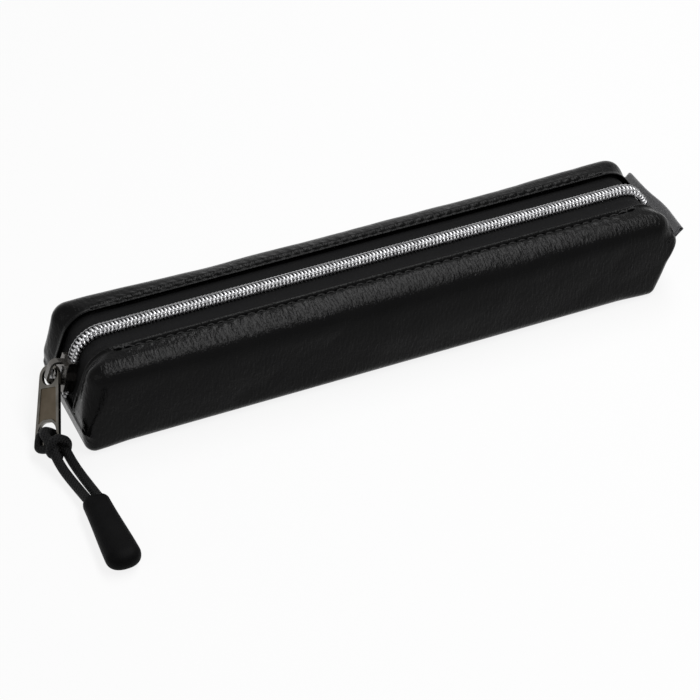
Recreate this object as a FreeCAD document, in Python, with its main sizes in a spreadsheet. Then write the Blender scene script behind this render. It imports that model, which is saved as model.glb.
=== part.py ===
import FreeCAD, Part
import math
import os

# Slim soft pen case with a coil zip along its top
# +X points to the ribbon tab, -Y to the side with the cord, +Z up, millimetres
# The origin is under the middle of the case, on the surface that it rests on

Vector = FreeCAD.Vector
Rotation = FreeCAD.Rotation
Placement = FreeCAD.Placement

SIZES = {
    # case, outside of the leather
    "half_length": 102.0,
    "case_width": 42.0,
    "case_height": 30.0,
    "leather": 1.2,
    "shoulder_radius": 9.0,
    "base_radius": 6.0,
    "end_corner_radius": 5.0,
    # side outline
    "left_seam_height": 9.5,
    "right_seam_height": 19.5,
    "left_slope": 70.0,
    "right_slope": 60.0,
    "nose_radius": 10.0,
    "left_base_inset": 1.0,
    "right_base_inset": 7.5,
    "base_end_radius": 5.0,
    "seam_radius": 1.5,
    # zip window and the layers under it
    "window_width": 18.6,
    "layer_clearance": 0.3,
    "tape_thickness": 0.5,
    "tape_margin": 3.7,
    "tape_gap": 1.6,
    "lining_thickness": 0.5,
    # coil rows
    "coil_pitch": 1.22,
    "coil_width": 2.2,
    "coil_height": 2.2,
    "coil_seat": 0.05,
    "tooth_width": 0.5,
    "tooth_reach": 0.45,
    "spine_width": 0.7,
    "spine_height": 0.9,
    "tail_spread": 1.35,
    "tail_start": 0.6,
    "coil_end_gap": 2.0,
    "coil_thread": 0.2,
    "coil_thread_width": 0.3,
    # stitches beside the folds
    "stitch_length": 2.4,
    "stitch_pitch": 3.3,
    "stitch_width": 0.5,
    "stitch_height": 0.35,
    "stitch_offset": 1.6,
    # slider
    "slider_length": 10.0,
    "slider_seam_distance": 7.6,
    "plate_thickness": 1.0,
    "slider_clearance": 0.25,
    "flange_thickness": 0.7,
    "flange_gap": 0.35,
    "throat_start": 1.8,
    "throat_end": -0.2,
    "post_length": 2.6,
    "post_width": 1.3,
    "crown_width": 2.2,
    "crown_thickness": 0.8,
    "crown_clear_height": 3.9,
    "crown_clear_length": 6.8,
    "crown_bend": 1.5,
    "arrow_width": 4.2,
    "arrow_length": 3.0,
    "pin_radius": 0.45,
    "pin_clearance": 0.05,
    "pin_height": 0.95,
    "pin_setback": 0.35,
    "ear_thickness": 0.6,
    "pawl_width": 0.9,
    "pawl_thickness": 0.4,
    "claw_position": 1.5,
    # pull
    "pull_length": 25.0,
    "pull_thickness": 1.3,
    "pull_top_width": 7.8,
    "pull_low_width": 10.6,
    "pull_low_radius": 3.0,
    "rim_width": 1.9,
    "upper_window_length": 6.0,
    "lower_window_width": 6.8,
    "lower_window_length": 4.6,
    "panel_depth": 0.25,
    "panel_width": 5.8,
    "panel_length": 7.6,
    "pull_roll": 45.0,
    "pull_lift": 5.0,
    "pull_twist": 20.0,
    "pull_stand_off": 2.0,
    "grab_angle": 35.0,
    "grab_position": 0.2,
    # cord and grip
    "cord_diameter": 3.0,
    "cord_bend_radius": 2.75,
    "cord_slack": 0.2,
    "cord_lead": 3.5,
    "grip_length": 30.5,
    "grip_neck_width": 8.2,
    "grip_end_width": 10.8,
    "grip_thickness": 6.8,
    "grip_shoulder_radius": 2.6,
    "grip_end_radius": 4.4,
    "grip_edge_radius": 2.2,
    # ribbon tab
    "tab_width": 34.5,
    "tab_reach": 4.4,
    "tab_slope": 45.0,
    "ribbon": 0.45,
    "ribbon_gap": 0.3,
}

doc = FreeCAD.newDocument("PenCase")
sheet = doc.addObject("Spreadsheet::Sheet", "Sizes")
for row, (alias, value) in enumerate(SIZES.items(), start=1):
    sheet.set(f"A{row}", alias)
    sheet.set(f"B{row}", str(value))
    sheet.setAlias(f"B{row}", alias)
doc.recompute()


class Sizes:
    """The sheet's cells, read by their aliases."""

    def __getattr__(self, alias):
        return float(sheet.get(alias))


size = Sizes()
half_width = size.case_width / 2
half_window = size.window_width / 2
tape_depth = size.leather + size.layer_clearance
tape_inner_depth = tape_depth + size.tape_thickness
lining_depth = tape_inner_depth + size.layer_clearance
lining_inner_depth = lining_depth + size.lining_thickness
left_angle = math.radians(size.left_slope)
right_angle = math.radians(size.right_slope)


# Outlines

SMALLEST_RADIUS = 0.3
CUT_MARGIN = 10.0


def meet(first, second):
    """The point where two lines, each a point and a direction, cross."""
    (p, u), (q, w) = first, second
    share = ((q.x - p.x) * w.y - (q.y - p.y) * w.x) / (u.x * w.y - u.y * w.x)
    return p + u * share


def rounded(corners):
    """Lines and arcs of a closed outline from its corners, each a point and a radius."""
    count = len(corners)
    starts, ends, middles = [], [], []
    for i, (corner, radius) in enumerate(corners):
        into = (corner - corners[i - 1][0]).normalize()
        out = (corners[(i + 1) % count][0] - corner).normalize()
        turn = into.getAngle(out)
        reach = radius * math.tan(turn / 2)
        starts.append(corner - into * reach)
        ends.append(corner + out * reach)
        inward = (out - into).normalize() if turn > 1e-6 else Vector()
        middles.append(corner + inward * radius * (1 / math.cos(turn / 2) - 1))
    geometry = []
    for i, (corner, radius) in enumerate(corners):
        if radius > 0:
            geometry.append(Part.Arc(starts[i], middles[i], ends[i]))
        geometry.append(Part.LineSegment(ends[i], starts[(i + 1) % count]))
    return geometry


def side_lines(depth):
    """The side outline's lines, anticlockwise from the base, moved inwards by depth."""
    left, right = size.half_length, size.half_length
    base_left = Vector(-left + size.left_base_inset, 0)
    base_right = Vector(right - size.right_base_inset, 0)
    seam_left = Vector(-left, size.left_seam_height)
    seam_right = Vector(right, size.right_seam_height)
    lines = [
        (base_left, Vector(1, 0)),
        (base_right, (seam_right - base_right).normalize()),
        (seam_right, Vector(-math.cos(right_angle), math.sin(right_angle))),
        (Vector(0, size.case_height), Vector(-1, 0)),
        (seam_left, Vector(-math.cos(left_angle), -math.sin(left_angle))),
        (seam_left, (base_left - seam_left).normalize()),
    ]
    return [(p + Vector(-u.y, u.x) * depth, u) for p, u in lines]


def side_corners(depth):
    lines = side_lines(depth)
    radii = [
        size.base_end_radius,
        size.base_end_radius,
        size.seam_radius,
        size.nose_radius,
        size.nose_radius,
        size.seam_radius,
    ]
    return [
        (meet(lines[i - 1], lines[i]), max(radii[i] - depth, SMALLEST_RADIUS))
        for i in range(len(lines))
    ]


def section_corners(depth):
    side, low, high = half_width - depth, depth, size.case_height - depth
    base = max(size.base_radius - depth, SMALLEST_RADIUS)
    shoulder = max(size.shoulder_radius - depth, SMALLEST_RADIUS)
    return [
        (Vector(-side, low), base),
        (Vector(side, low), base),
        (Vector(side, high), shoulder),
        (Vector(-side, high), shoulder),
    ]


def plan_corners(depth):
    end, side = size.half_length - depth, half_width - depth
    radius = max(size.end_corner_radius - depth, SMALLEST_RADIUS)
    points = [(-end, -side), (end, -side), (end, side), (-end, side)]
    return [(Vector(x, y), radius) for x, y in points]


# The path of the zip: up the left end, along the top and down the right end, on the tape's outer face


def path_corners(rise):
    """Start, left bend, right bend and end of the path, moved outwards by rise."""
    depth = tape_depth - rise
    lines = side_lines(depth)
    ground = side_lines(tape_depth)
    start = meet(ground[4], (Vector(0, size.left_seam_height), Vector(1, 0)))
    end = meet(ground[2], (Vector(0, size.right_seam_height), Vector(1, 0)))
    outward_left = Vector(-math.sin(left_angle), math.cos(left_angle))
    outward_right = Vector(math.sin(right_angle), math.cos(right_angle))
    return [
        start + outward_left * rise,
        meet(lines[4], lines[3]),
        meet(lines[2], lines[3]),
        end + outward_right * rise,
    ]


bend_radius = size.nose_radius - tape_depth
start_point, left_bend, right_bend, end_point = path_corners(0)
left_trim = bend_radius * math.tan(left_angle / 2)
right_trim = bend_radius * math.tan(right_angle / 2)
left_run = (left_bend - start_point).Length - left_trim
left_arc = bend_radius * left_angle
top_run = (right_bend - left_bend).Length - left_trim - right_trim
right_arc = bend_radius * right_angle
right_run = (end_point - right_bend).Length - right_trim
path_length = left_run + left_arc + top_run + right_arc + right_run


def along(distance):
    """Point in X and Z, and slope, at a distance along the path."""
    if distance <= left_run:
        return start_point + Vector(math.cos(left_angle), math.sin(left_angle)) * distance, left_angle
    distance -= left_run
    if distance <= left_arc:
        slope = left_angle - distance / bend_radius
        centre = left_bend + Vector(left_trim, -bend_radius)
        return centre + Vector(-math.sin(slope), math.cos(slope)) * bend_radius, slope
    distance -= left_arc
    if distance <= top_run:
        return left_bend + Vector(left_trim + distance, 0), 0.0
    distance -= top_run
    if distance <= right_arc:
        slope = -distance / bend_radius
        centre = right_bend + Vector(-right_trim, -bend_radius)
        return centre + Vector(-math.sin(slope), math.cos(slope)) * bend_radius, slope
    distance -= right_arc
    down = Vector(math.cos(right_angle), -math.sin(right_angle))
    return right_bend + down * (right_trim + distance), -right_angle


def frame_at(distance):
    """Placement with its X along the path and its Z out of the case."""
    point, slope = along(distance)
    return Placement(Vector(point.x, 0, point.y), Rotation(Vector(0, 1, 0), -math.degrees(slope)))


def band_corners(low, high, begin, stop=0.0):
    """A band over the path between two rises, from begin to a stop before the end of the path."""
    up = Vector(math.cos(left_angle), math.sin(left_angle)) * begin
    back = Vector(-math.cos(right_angle), math.sin(right_angle)) * stop
    top, under = path_corners(high), path_corners(low)
    high_radius, low_radius = bend_radius + high, bend_radius + low
    return [
        (top[0] + up, 0),
        (top[1], high_radius),
        (top[2], high_radius),
        (top[3] + back, 0),
        (under[3] + back, 0),
        (under[2], low_radius),
        (under[1], low_radius),
        (under[0] + up, 0),
    ]


# Features


def new_body(label):
    body = doc.addObject("PartDesign::Body", label)
    body.Label = label
    return body


def sketch_on(body, role, geometry, offset=0.0):
    plane = next(f for f in body.Origin.OriginFeatures if f.Role == role)
    sketch = body.newObject("Sketcher::SketchObject", f"{body.Name}_outline")
    sketch.AttachmentSupport = [(plane, "")]
    sketch.MapMode = "FlatFace"
    sketch.AttachmentOffset = Placement(Vector(0, 0, offset), Rotation())
    sketch.addGeometry(geometry, False)
    return sketch


def pad(body, role, geometry, length, offset=0.0, symmetric=False):
    """A pad whose length is a number, or a formula over the sheet's cells."""
    feature = body.newObject("PartDesign::Pad", f"{body.Name}_pad")
    feature.Profile = sketch_on(body, role, geometry, offset)
    feature.SideType = "Symmetric" if symmetric else "One side"
    if isinstance(length, str):
        feature.setExpression("Length", length)
    else:
        feature.Length = length
    return feature


def pocket(body, role, geometry, length, offset):
    feature = body.newObject("PartDesign::Pocket", f"{body.Name}_pocket")
    feature.Profile = sketch_on(body, role, geometry, offset)
    feature.Length = length
    return feature


def sharp(points):
    return rounded([(Vector(x, y), 0) for x, y in points])


def boolean(kind, label, base, tool):
    feature = doc.addObject(kind, label)
    feature.Label = label
    feature.Base, feature.Tool = base, tool
    return feature


# Case


def case_form(name, depth):
    """The case's soft outside, moved inwards by depth: side, section and plan in common."""
    side = new_body(f"{name}_side")
    pad(side, "XZ_Plane", rounded(side_corners(depth)), "Sizes.case_width", symmetric=True)
    section = new_body(f"{name}_section")
    pad(section, "YZ_Plane", rounded(section_corners(depth)), "2 * Sizes.half_length", symmetric=True)
    plan = new_body(f"{name}_plan")
    pad(plan, "XY_Plane", rounded(plan_corners(depth)), "3 * Sizes.case_height", symmetric=True)
    form = doc.addObject("Part::MultiCommon", f"{name}_form")
    form.Shapes = [side, section, plan]
    return form


def window_cutter(name):
    left, right, high = -size.half_length, size.half_length, size.case_height + CUT_MARGIN
    points = [
        (left - CUT_MARGIN, size.left_seam_height),
        (left / 2, size.left_seam_height),
        (right / 2, size.right_seam_height),
        (right + CUT_MARGIN, size.right_seam_height),
        (right + CUT_MARGIN, high),
        (left - CUT_MARGIN, high),
    ]
    cutter = new_body(name)
    pad(cutter, "XZ_Plane", sharp(points), "Sizes.window_width", symmetric=True)
    return cutter


def shell(label, outer_depth, inner_depth):
    outer = case_form(f"{label}_outer", outer_depth)
    inner = case_form(f"{label}_inner", inner_depth)
    hollow = boolean("Part::Cut", f"{label}_hollow", outer, inner)
    return boolean("Part::Cut", label, hollow, window_cutter(f"{label}_window"))


def topstitch(label, side):
    """A row of stitches on the leather beside a fold, along the straight run."""
    first, last = left_bend.x + left_trim, right_bend.x - right_trim
    count = int((last - first - size.stitch_length) / size.stitch_pitch) + 1
    middle = side * (half_window + size.stitch_offset)
    stitches = [
        Part.makeBox(
            size.stitch_length,
            size.stitch_width,
            size.stitch_height,
            Vector(first + i * size.stitch_pitch, middle - size.stitch_width / 2, size.case_height),
        )
        for i in range(count)
    ]
    row = doc.addObject("Part::Feature", label)
    row.Label = label
    row.Shape = Part.makeCompound(stitches)
    return row


def end_tab():
    """A ribbon folded to a loop, sewn into the right end seam."""
    thick = 2 * size.ribbon + size.ribbon_gap
    inner_radius = size.ribbon_gap / 2
    reach, seat = size.tab_reach, size.layer_clearance
    outline = [
        (Vector(seat, -thick / 2), 0),
        (Vector(reach, -thick / 2), thick / 2 - 0.01),
        (Vector(reach, thick / 2), thick / 2 - 0.01),
        (Vector(seat, thick / 2), 0),
        (Vector(seat, inner_radius), 0),
        (Vector(reach - size.ribbon, inner_radius), inner_radius - 0.01),
        (Vector(reach - size.ribbon, -inner_radius), inner_radius - 0.01),
        (Vector(seat, -inner_radius), 0),
    ]
    body = new_body("end_tab")
    pad(body, "XZ_Plane", rounded(outline), "Sizes.tab_width", symmetric=True)
    body.Placement = Placement(
        Vector(size.half_length, 0, size.right_seam_height),
        Rotation(Vector(0, 1, 0), -size.tab_slope),
    )
    return body


# Slider, in a frame of its own: X along the path to the closed zip, Z out of the case

slider_place = frame_at(size.slider_seam_distance)
coil_top = size.coil_seat + size.coil_height
thread_low = coil_top + 0.02
channel_top = thread_low + size.coil_thread + size.slider_clearance
plate_top = channel_top + size.plate_thickness
under_top = -size.tape_thickness - size.slider_clearance
rear_inside = size.coil_width + size.slider_clearance
front_inside = rear_inside + size.tail_spread
rear_outside = rear_inside + size.flange_thickness
front_outside = front_inside + size.flange_thickness
half_slider = size.slider_length / 2
pin_x = -size.crown_clear_length / 2 + size.pin_setback + size.pin_radius
pin_z = plate_top + size.pin_height


def slider_body():
    corner = size.flange_thickness
    flare = [
        (half_slider, rear_outside),
        (size.throat_start, rear_outside),
        (size.throat_end, front_outside),
        (-half_slider + corner, front_outside),
        (-half_slider, front_outside - corner),
    ]
    outline = flare + [(x, -y) for x, y in reversed(flare)]
    flange = [
        (half_slider, rear_inside),
        (half_slider, rear_outside),
        (size.throat_start, rear_outside),
        (size.throat_end, front_outside),
        (-half_slider + corner, front_outside),
        (-half_slider + corner, front_inside),
        (size.throat_end, front_inside),
        (size.throat_start, rear_inside),
    ]
    post_end = size.throat_end - 0.1
    post = [
        (post_end, 0),
        (post_end - size.post_length / 2, size.post_width / 2),
        (post_end - size.post_length, 0),
        (post_end - size.post_length / 2, -size.post_width / 2),
    ]
    ear_low = size.pawl_width / 2 + size.pin_clearance
    ear_high = ear_low + size.ear_thickness
    ear_half = size.pin_radius + size.pin_setback - size.pin_clearance * 2
    ear = [
        (pin_x - ear_half, ear_low),
        (pin_x + ear_half, ear_low),
        (pin_x + ear_half, ear_high),
        (pin_x - ear_half, ear_high),
    ]
    claw_half = size.pawl_thickness / 2 + size.slider_clearance
    slot_half = size.pawl_width / 2 + size.pin_clearance * 2
    slot = [
        (size.claw_position - claw_half, -slot_half),
        (size.claw_position + claw_half, -slot_half),
        (size.claw_position + claw_half, slot_half),
        (size.claw_position - claw_half, slot_half),
    ]
    flange_low = size.flange_gap
    flange_tall = channel_top - flange_low
    ear_tall = size.pin_height + size.pin_radius + size.pin_clearance * 4
    body = new_body("slider_body")
    pad(body, "XY_Plane", sharp(outline), "Sizes.plate_thickness", channel_top)
    pad(body, "XY_Plane", sharp(post), channel_top - under_top, under_top)
    pad(body, "XY_Plane", sharp(outline), "Sizes.plate_thickness", under_top - size.plate_thickness)
    for sign in (1, -1):
        pad(body, "XY_Plane", sharp([(x, sign * y) for x, y in flange]), flange_tall, flange_low)
        pad(body, "XY_Plane", sharp([(x, sign * y) for x, y in ear]), ear_tall, plate_top)
    pocket(body, "XY_Plane", sharp(slot), size.plate_thickness + 0.1, plate_top)
    bore = Part.Circle(Vector(pin_x, pin_z, 0), Vector(0, 0, 1), size.pin_radius + size.pin_clearance)
    bore_cut = body.newObject("PartDesign::Pocket", "pin_bore")
    bore_cut.Profile = sketch_on(body, "XZ_Plane", [bore])
    bore_cut.SideType = "Symmetric"
    bore_cut.Length = 4 * ear_high
    body.Placement = slider_place
    return body


def crown_spring():
    """A strap bent over the slider, with an arrow-shaped foot towards the closed zip."""
    thick, clear = size.crown_thickness, size.crown_clear_length / 2
    inner_top = plate_top + size.crown_clear_height
    bend = size.crown_bend
    arch = [
        (Vector(-clear - thick, plate_top), 0),
        (Vector(-clear, plate_top), 0),
        (Vector(-clear, inner_top), bend),
        (Vector(clear, inner_top), bend),
        (Vector(clear, plate_top), 0),
        (Vector(clear + thick, plate_top), 0),
        (Vector(clear + thick, inner_top + thick), bend + thick),
        (Vector(-clear - thick, inner_top + thick), bend + thick),
    ]
    arrow = [
        (clear, -size.arrow_width / 2),
        (clear + size.arrow_length, 0),
        (clear, size.arrow_width / 2),
    ]
    body = new_body("crown_spring")
    pad(body, "XZ_Plane", rounded(arch), "Sizes.crown_width", symmetric=True)
    pad(body, "XY_Plane", sharp(arrow), "Sizes.crown_thickness", plate_top)
    body.Placement = slider_place
    return body


def lock_pin():
    half = size.pawl_width / 2 + size.pin_clearance + size.ear_thickness
    pin = doc.addObject("Part::Cylinder", "lock_pin")
    pin.Label = "lock_pin"
    pin.setExpression("Radius", "Sizes.pin_radius")
    pin.Height = 2 * half
    seat = Placement(Vector(pin_x, half, pin_z), Rotation(Vector(1, 0, 0), 90))
    pin.Placement = slider_place.multiply(seat)
    return pin


def lock_pawl():
    """A lever that turns on the pin, with a claw that reaches down between the coil rows."""
    ring = size.pin_radius + size.pin_clearance + size.pawl_thickness / 2
    thick, tip = size.pawl_thickness, size.claw_position + size.pawl_thickness / 2
    low = plate_top + size.pin_clearance
    arm = [
        (pin_x, low),
        (tip - thick, low),
        (tip - thick, coil_top + size.slider_clearance),
        (tip, coil_top + size.slider_clearance),
        (tip, low + thick),
        (pin_x, low + thick),
    ]
    body = new_body("lock_pawl")
    pad(body, "XZ_Plane", sharp(arm), "Sizes.pawl_width", symmetric=True)
    disc = Part.Circle(Vector(pin_x, pin_z, 0), Vector(0, 0, 1), ring)
    pad(body, "XZ_Plane", [disc], "Sizes.pawl_width", symmetric=True)
    bore = Part.Circle(Vector(pin_x, pin_z, 0), Vector(0, 0, 1), size.pin_radius + size.pin_clearance)
    bore_cut = body.newObject("PartDesign::Pocket", "pawl_bore")
    bore_cut.Profile = sketch_on(body, "XZ_Plane", [bore])
    bore_cut.SideType = "Symmetric"
    bore_cut.Length = 2 * size.pawl_width
    body.Placement = slider_place
    return body


# Zip halves


def tape(label, side):
    outer, inner = half_window + size.tape_margin, size.tape_gap / 2
    strip = new_body(f"{label}_strip")
    pad(strip, "XZ_Plane", rounded(band_corners(-size.tape_thickness, 0, 0)), outer - inner, symmetric=True)
    strip.Placement.Base = Vector(0, side * (outer + inner) / 2, 0)
    notch = doc.addObject("Part::Box", f"{label}_notch")
    notch.Length = size.slider_seam_distance + size.tail_start + CUT_MARGIN
    notch.setExpression("Width", "Sizes.tape_gap + 2 * Sizes.tail_spread")
    notch.Height = 2 * CUT_MARGIN
    corner = Vector(size.tail_start - notch.Length.Value, -inner - size.tail_spread, -CUT_MARGIN)
    notch.Placement = slider_place.multiply(Placement(corner, Rotation()))
    return boolean("Part::Cut", label, strip, notch)


def coil(label, side, lead):
    """One row of the coil: teeth on a spine, closed above the slider and spread below it."""
    heel, tall = size.coil_width, size.coil_height
    seat = size.coil_seat
    begin = size.slider_seam_distance + size.tail_start
    spine = new_body(f"{label}_spine")
    pad(
        spine,
        "XZ_Plane",
        rounded(band_corners(seat, seat + size.spine_height, begin, size.coil_end_gap)),
        "Sizes.spine_width",
        symmetric=True,
    )
    spine.Placement.Base = Vector(0, side * (heel - size.spine_width / 2), 0)
    doc.recompute()
    deep = heel + size.tooth_reach
    low = -heel if side < 0 else -size.tooth_reach
    pieces = []

    def tooth(distance, shift):
        block = Part.makeBox(size.tooth_width, deep, tall)
        block.Placement = frame_at(distance).multiply(
            Placement(Vector(-size.tooth_width / 2, low + side * shift, seat), Rotation())
        )
        pieces.append(block)

    distance = begin + lead
    while distance < path_length - size.coil_end_gap:
        tooth(distance, 0)
        distance += size.coil_pitch
    distance = size.slider_seam_distance - size.tail_start - lead
    while distance > size.tooth_width:
        tooth(distance, size.tail_spread)
        distance -= size.coil_pitch
    outer, inner = side * heel, side * (heel - size.spine_width)
    spread = side * size.tail_spread
    foot = -size.slider_seam_distance + size.tooth_width
    tail = [
        (foot, inner + spread),
        (foot, outer + spread),
        (-size.tail_start, outer + spread),
        (size.tail_start + lead, outer),
        (size.tail_start + lead, inner),
        (-size.tail_start, inner + spread),
    ]
    ring = [Vector(x, y, seat) for x, y in tail]
    tail_spine = Part.Face(Part.makePolygon(ring + ring[:1])).extrude(Vector(0, 0, size.spine_height))
    tail_spine.Placement = slider_place
    row = doc.addObject("Part::Feature", label)
    row.Label = label
    row.Shape = spine.Shape.multiFuse([tail_spine] + pieces).removeSplitter()
    return row


def coil_stitch(label, side):
    body = new_body(label)
    begin = size.slider_seam_distance + size.tail_start
    outline = rounded(band_corners(thread_low, thread_low + size.coil_thread, begin, size.coil_end_gap))
    pad(body, "XZ_Plane", outline, "Sizes.coil_thread_width", symmetric=True)
    body.Placement.Base = Vector(0, side * (size.coil_width - size.spine_width / 2), 0)
    return body


# Pull: its own frame has X across, Y towards the top, Z out of the blank panel

top_radius = size.pull_top_width / 2
arc_centre = size.rim_width / 2 - top_radius
rim_middle = top_radius - size.rim_width / 2
grab_angle = math.radians(size.grab_angle)
grab = Vector(math.cos(grab_angle), math.sin(grab_angle)) * rim_middle + Vector(0, arc_centre)
roll = math.radians(size.pull_roll)
twist = math.radians(size.pull_twist)
lift = math.radians(size.pull_lift)
level = Vector(math.sin(roll), -math.cos(roll), 0)
upwards = Vector(math.cos(roll) * math.cos(lift), math.sin(roll) * math.cos(lift), -math.sin(lift))
across = level * math.cos(twist) - level.cross(upwards) * math.sin(twist)
facing = across.cross(upwards)
pull_turn = Rotation(across, upwards, facing, "ZXY")
grab_place = Vector(size.grab_position, 0, plate_top + size.pull_stand_off)
pull_place = slider_place.multiply(Placement(grab_place - pull_turn.multVec(grab), pull_turn))
pull_bottom = size.rim_width / 2 - size.pull_length
window_bottom = pull_bottom + size.rim_width
lower_window_middle = window_bottom + size.lower_window_length / 2


def pull_tab():
    top, low = size.rim_width / 2, pull_bottom
    half_top, half_low = size.pull_top_width / 2, size.pull_low_width / 2
    outline = [
        (Vector(-half_top, top), half_top - 0.05),
        (Vector(-half_low, low), size.pull_low_radius),
        (Vector(half_low, low), size.pull_low_radius),
        (Vector(half_top, top), half_top - 0.05),
    ]
    window_half = half_top - size.rim_width
    window_top = -size.rim_width / 2
    upper = [
        (Vector(-window_half, window_top), window_half - 0.05),
        (Vector(-window_half, window_top - size.upper_window_length), window_half - 0.05),
        (Vector(window_half, window_top - size.upper_window_length), window_half - 0.05),
        (Vector(window_half, window_top), window_half - 0.05),
    ]
    lower_half, lower_top = size.lower_window_width / 2, window_bottom + size.lower_window_length
    lower = [
        (Vector(-lower_half, window_bottom), size.pull_low_radius - 1),
        (Vector(lower_half, window_bottom), size.pull_low_radius - 1),
        (Vector(lower_half, lower_top), 1),
        (Vector(-lower_half, lower_top), 1),
    ]
    panel_middle = (window_top - size.upper_window_length + lower_top) / 2
    panel_half, panel_tall = size.panel_width / 2, size.panel_length / 2
    panel = [
        (Vector(-panel_half, panel_middle - panel_tall), 0.6),
        (Vector(panel_half, panel_middle - panel_tall), 0.6),
        (Vector(panel_half, panel_middle + panel_tall), 0.6),
        (Vector(-panel_half, panel_middle + panel_tall), 0.6),
    ]
    body = new_body("pull_tab")
    pad(body, "XY_Plane", rounded(outline), "Sizes.pull_thickness", symmetric=True)
    for window in (upper, lower):
        cut = body.newObject("PartDesign::Pocket", "pull_window")
        cut.Profile = sketch_on(body, "XY_Plane", rounded(window))
        cut.SideType = "Symmetric"
        cut.setExpression("Length", "2 * Sizes.pull_thickness")
    pocket(body, "XY_Plane", rounded(panel), size.panel_depth, size.pull_thickness / 2)
    body.Placement = pull_place
    return body


# Cord: one length, from the grip through the pull's lower window and back to the grip

window_point = pull_place.multVec(Vector(0, lower_window_middle, 0))
out_of_panel = pull_place.Rotation.multVec(Vector(0, 0, 1))
to_grip = Vector(0, -1, 0) - out_of_panel * Vector(0, -1, 0).dot(out_of_panel)
to_grip.normalize()
bend_centre = window_point + to_grip * (size.cord_bend_radius - size.cord_slack)
front_strand = bend_centre + out_of_panel * size.cord_bend_radius
back_strand = bend_centre - out_of_panel * size.cord_bend_radius
CORD_FRONT = [Vector(-111.4, -24.0, 3.8), Vector(-110.0, -31.0, 2.1), Vector(-108.5, -42.3, 3.1)]
CORD_BACK = [Vector(-107.0, -23.0, 2.1), Vector(-106.2, -31.0, 1.8), Vector(-105.2, -42.3, 3.1)]


def strand(points):
    """Straight runs joined by tangent arcs, each as large as its two runs allow."""
    edges, start = [], points[0]
    for before, corner, after in zip(points, points[1:], points[2:]):
        into, out = corner - before, after - corner
        turn = into.getAngle(out)
        reach = 0.45 * min(into.Length, out.Length)
        radius = reach / math.tan(turn / 2)
        into.normalize()
        out.normalize()
        arc_start, arc_end = corner - into * reach, corner + out * reach
        middle = corner + (out - into).normalize() * radius * (1 / math.cos(turn / 2) - 1)
        edges.append(Part.LineSegment(start, arc_start).toShape())
        edges.append(Part.Arc(arc_start, middle, arc_end).toShape())
        start = arc_end
        print(f"cord bend radius {radius:.1f}")
    edges.append(Part.LineSegment(start, points[-1]).toShape())
    return edges


def pull_cord():
    apex = bend_centre - to_grip * size.cord_bend_radius
    lead = to_grip * size.cord_lead
    front = [front_strand, front_strand + lead] + CORD_FRONT
    back = [back_strand, back_strand + lead] + CORD_BACK
    bend = Part.Arc(back_strand, apex, front_strand).toShape()
    edges = strand(front) + [bend] + strand(back)
    wire = Part.Wire(Part.__sortEdges__(edges))
    end = front[-1]
    heading = (front[-1] - front[-2]).normalize()
    profile = Part.Wire(Part.makeCircle(size.cord_diameter / 2, end, heading))
    tube = wire.makePipeShell([profile], True, False)
    section = math.pi * size.cord_diameter**2 / 4
    print(f"cord length {wire.Length:.1f}, volume against section {tube.Volume / (section * wire.Length):.4f}")
    cord = doc.addObject("Part::Feature", "pull_cord")
    cord.Label = "pull_cord"
    cord.Shape = tube
    return cord


GRIP_NECK = Vector(-106.85, -42.65, 3.45)
GRIP_YAW = -1.0


def cord_grip():
    """A moulded grip that lies on the surface: rounded shoulders, wider to its rounded end."""
    neck, end, low = size.grip_neck_width / 2, size.grip_end_width / 2, -size.grip_length
    outline = [
        (Vector(-neck, 0), size.grip_shoulder_radius),
        (Vector(-end, low), size.grip_end_radius),
        (Vector(end, low), size.grip_end_radius),
        (Vector(neck, 0), size.grip_shoulder_radius),
    ]
    body = new_body("cord_grip")
    block = pad(body, "XY_Plane", rounded(outline), "Sizes.grip_thickness", symmetric=True)
    doc.recompute()
    flats = [
        f"Face{i}"
        for i, face in enumerate(block.Shape.Faces, start=1)
        if abs(face.CenterOfMass.z) > size.grip_thickness / 2 - 0.01
    ]
    edge_round = body.newObject("PartDesign::Fillet", "grip_edges")
    edge_round.Base = (block, flats)
    edge_round.setExpression("Radius", "Sizes.grip_edge_radius")
    body.Placement = Placement(GRIP_NECK, Rotation(Vector(0, 0, 1), GRIP_YAW))
    return body


parts = [
    shell("outer_panel", 0, size.leather),
    shell("lining", lining_depth, lining_inner_depth),
    topstitch("topstitch_front", -1),
    topstitch("topstitch_back", 1),
    end_tab(),
    tape("tape_front", -1),
    tape("tape_back", 1),
    coil("coil_front", -1, 0.0),
    coil("coil_back", 1, size.coil_pitch / 2),
    coil_stitch("coil_stitch_front", -1),
    coil_stitch("coil_stitch_back", 1),
    slider_body(),
    crown_spring(),
    lock_pin(),
    lock_pawl(),
    pull_tab(),
    pull_cord(),
    cord_grip(),
]
doc.recompute()

for item in doc.Objects:
    if "Invalid" in item.State or "Error" in item.State:
        raise RuntimeError(f"{item.Label} failed: {item.State}")
for item in parts:
    if item.Shape.isNull() or not item.Shape.isValid():
        raise RuntimeError(f"{item.Label} has no valid shape")

os.makedirs("parts", exist_ok=True)
for item in parts:
    item.Shape.exportStep(f"parts/{item.Label}.step")
    box = item.Shape.BoundBox
    print(f"{item.Label}: {len(item.Shape.Solids)} solids, {item.Shape.Volume:.1f} mm3, "
          f"X {box.XMin:.1f} {box.XMax:.1f}, Y {box.YMin:.1f} {box.YMax:.1f}, Z {box.ZMin:.2f} {box.ZMax:.2f}")
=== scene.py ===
"""Looks of a slim zip case: soft grained leather, woven tape, silver coil, metal slider, cord and grip."""
import math

import bmesh
import bpy
import numpy as np
from mathutils import Matrix, Vector, noise


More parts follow.
